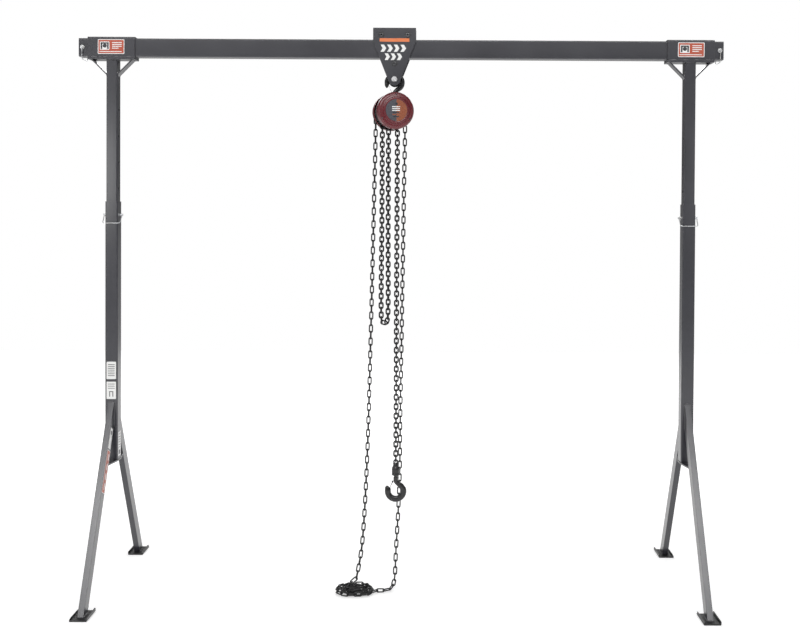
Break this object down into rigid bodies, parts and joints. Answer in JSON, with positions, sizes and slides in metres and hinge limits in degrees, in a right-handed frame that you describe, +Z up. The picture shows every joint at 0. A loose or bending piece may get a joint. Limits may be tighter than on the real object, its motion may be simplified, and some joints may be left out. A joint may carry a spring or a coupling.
{
  "type": "portable gantry crane",
  "caption": "Free-standing box-beam gantry on telescoping A-frame stands, with a rolling plate trolley and a hand chain hoist hanging from its load pin.",
  "frame": {"origin": "on the floor, under the middle of the beam", "axes": "+X along the beam, +Y from the front of the crane to its back, +Z up"},
  "size_m": [2.438, 0.796, 2.115],
  "materials": {
    "frame_charcoal": "semi-gloss charcoal powder coat",
    "foot_black": "satin black paint",
    "zinc_pin": "bright zinc plate",
    "bolt_black": "black oxide",
    "roller_steel": "turned steel",
    "hook_black": "glossy black enamel on forged steel",
    "hoist_red": "glossy dark red enamel",
    "hoist_black": "satin black enamel",
    "gear_steel": "machined steel, lightly oiled",
    "chain_black": "blackened, oiled chain steel"
  },
  "bodies": {
    "beam": {"beam_tube": "frame_charcoal"},
    "left_mast": {"left_sleeve_channel": "frame_charcoal", "left_sleeve_plate": "frame_charcoal", "left_mast_tube": "frame_charcoal", "left_outer_brace": "frame_charcoal", "left_inner_brace": "frame_charcoal"},
    "left_stand": {"left_lower_post": "frame_charcoal", "left_tie_plate": "frame_charcoal", "left_front_leg": "frame_charcoal", "left_rear_leg": "frame_charcoal", "left_front_foot": "foot_black", "left_rear_foot": "foot_black"},
    "left_post_lock": {"left_post_pin": "zinc_pin"},
    "left_beam_lock": {"left_beam_pin": "zinc_pin"},
    "right_mast": {"right_sleeve_channel": "frame_charcoal", "right_sleeve_plate": "frame_charcoal", "right_mast_tube": "frame_charcoal", "right_outer_brace": "frame_charcoal", "right_inner_brace": "frame_charcoal"},
    "right_stand": {"right_lower_post": "frame_charcoal", "right_tie_plate": "frame_charcoal", "right_front_leg": "frame_charcoal", "right_rear_leg": "frame_charcoal", "right_front_foot": "foot_black", "right_rear_foot": "foot_black"},
    "right_post_lock": {"right_post_pin": "zinc_pin"},
    "right_beam_lock": {"right_beam_pin": "zinc_pin"},
    "trolley": {"front_cheek_plate": "frame_charcoal", "rear_cheek_plate": "frame_charcoal", "left_roller_bolt": "bolt_black", "right_roller_bolt": "bolt_black", "keeper_bolt": "bolt_black", "load_pin": "zinc_pin"},
    "left_roller_wheel": {"left_roller": "roller_steel"},
    "right_roller_wheel": {"right_roller": "roller_steel"},
    "upper_hook": {"top_hook": "hook_black"},
    "upper_latch": {"top_hook_latch": "zinc_pin"},
    "hoist_body": {"gear_cover": "hoist_red", "hand_wheel_cover": "hoist_red", "front_side_plate": "hoist_black", "rear_side_plate": "hoist_black", "suspension_crosshead": "hoist_black", "chain_anchor": "hoist_black", "chain_guide": "hoist_black", "hand_chain_left": "chain_black", "hand_chain_right": "chain_black", "hand_chain_heap": "chain_black", "load_chain_hook_strand": "chain_black", "load_chain_slack_loop": "chain_black"},
    "hand_wheel_set": {"hand_wheel": "gear_steel", "drive_shaft": "gear_steel", "ratchet_disc": "gear_steel"},
    "left_gear_set": {"left_disc_gear": "gear_steel"},
    "right_gear_set": {"right_disc_gear": "gear_steel"},
    "sheave_set": {"load_sheave": "gear_steel", "load_gear": "gear_steel"},
    "pawl_arm": {"pawl": "gear_steel"},
    "hook_block_body": {"hook_block": "hook_black"},
    "lower_hook": {"bottom_hook": "hook_black"},
    "lower_latch": {"bottom_hook_latch": "hook_black"}
  },
  "joints": [
    {"name": "left_mast_slide", "type": "slide", "parent": "beam", "child": "left_mast", "axis": [1, 0, 0], "range_m": [-0.01, 0.2]},
    {"name": "left_stand_slide", "type": "slide", "parent": "left_mast", "child": "left_stand", "axis": [0, 0, -1], "range_m": [-0.4, 0.2]},
    {"name": "left_post_bail_swing", "type": "hinge", "parent": "left_stand", "child": "left_post_lock", "pos_m": [-1.095, 0, 1.404], "axis": [-1, 0, 0], "range_deg": [0, 97]},
    {"name": "left_beam_bail_swing", "type": "hinge", "parent": "beam", "child": "left_beam_lock", "pos_m": [-1.2045, 0, 2.037], "axis": [0, 1, 0], "range_deg": [-5, 120]},
    {"name": "right_mast_slide", "type": "slide", "parent": "beam", "child": "right_mast", "axis": [1, 0, 0], "range_m": [-0.2, 0.01]},
    {"name": "right_stand_slide", "type": "slide", "parent": "right_mast", "child": "right_stand", "axis": [0, 0, -1], "range_m": [-0.4, 0.2]},
    {"name": "right_post_bail_swing", "type": "hinge", "parent": "right_stand", "child": "right_post_lock", "pos_m": [1.095, 0, 1.404], "axis": [-1, 0, 0], "range_deg": [0, 97]},
    {"name": "right_beam_bail_swing", "type": "hinge", "parent": "beam", "child": "right_beam_lock", "pos_m": [1.2045, 0, 2.037], "axis": [0, -1, 0], "range_deg": [-5, 120]},
    {"name": "trolley_slide", "type": "slide", "parent": "beam", "child": "trolley", "axis": [1, 0, 0], "range_m": [-0.69, 0.74]},
    {"name": "left_roller_spin", "type": "hinge", "parent": "trolley", "child": "left_roller_wheel", "pos_m": [-0.075, 0, 2.088], "axis": [0, 1, 0], "range_deg": [-2530, 2710]},
    {"name": "right_roller_spin", "type": "hinge", "parent": "trolley", "child": "right_roller_wheel", "pos_m": [0.025, 0, 2.088], "axis": [0, 1, 0], "range_deg": [-2530, 2710]},
    {"name": "top_hook_swing", "type": "hinge", "parent": "trolley", "child": "upper_hook", "pos_m": [-0.025, 0, 1.922], "axis": [0, 1, 0], "range_deg": [-15, 15]},
    {"name": "top_latch_hinge", "type": "hinge", "parent": "upper_hook", "child": "upper_latch", "pos_m": [-0.0369, 0, 1.8771], "axis": [0, 1, 0], "range_deg": [0, 30], "stiffness_Nm_per_rad": 0.02, "springref_deg": -28.65},
    {"name": "hoist_swivel", "type": "hinge", "parent": "upper_hook", "child": "hoist_body", "pos_m": [-0.025, 0, 1.86], "axis": [0, 0, 1], "continuous": true},
    {"name": "hand_wheel_turn", "type": "hinge", "parent": "hoist_body", "child": "hand_wheel_set", "pos_m": [-0.031, 0, 1.802], "axis": [-0.2419, 0.9703, 0], "continuous": true},
    {"name": "left_gear_turn", "type": "hinge", "parent": "hoist_body", "child": "left_gear_set", "pos_m": [-0.06302, -0.00798, 1.802], "axis": [-0.2419, 0.9703, 0], "continuous": true},
    {"name": "right_gear_turn", "type": "hinge", "parent": "hoist_body", "child": "right_gear_set", "pos_m": [0.00102, 0.00798, 1.802], "axis": [-0.2419, 0.9703, 0], "continuous": true},
    {"name": "load_sheave_turn", "type": "hinge", "parent": "hoist_body", "child": "sheave_set", "pos_m": [-0.031, 0, 1.802], "axis": [-0.2419, 0.9703, 0], "continuous": true},
    {"name": "pawl_lift", "type": "hinge", "parent": "hoist_body", "child": "pawl_arm", "pos_m": [-0.06264, 0.01942, 1.834], "axis": [0.2419, -0.9703, 0], "range_deg": [0, 20], "stiffness_Nm_per_rad": 0.02, "springref_deg": -28.65},
    {"name": "hook_lift", "type": "slide", "parent": "hoist_body", "child": "hook_block_body", "axis": [0, 0, 1], "range_m": [0, 0.58], "deforming": ["load_chain_hook_strand"]},
    {"name": "bottom_hook_swivel", "type": "hinge", "parent": "hook_block_body", "child": "lower_hook", "pos_m": [-0.01354, 0.00229, 0.43], "axis": [0, 0, 1], "continuous": true},
    {"name": "bottom_latch_hinge", "type": "hinge", "parent": "lower_hook", "child": "lower_latch", "pos_m": [-0.02544, 0.00229, 0.388], "axis": [0, -1, 0], "range_deg": [0, 30], "stiffness_Nm_per_rad": 0.02, "springref_deg": -28.65}
  ],
  "couplings": [
    {"joint": "left_roller_spin", "follows": "trolley_slide", "rad_per_m": 63.694},
    {"joint": "right_roller_spin", "follows": "trolley_slide", "rad_per_m": 63.694},
    {"joint": "left_gear_turn", "follows": "hand_wheel_turn", "ratio": -0.29412},
    {"joint": "right_gear_turn", "follows": "hand_wheel_turn", "ratio": -0.29412},
    {"joint": "load_sheave_turn", "follows": "hand_wheel_turn", "ratio": 0.11029}
  ]
}
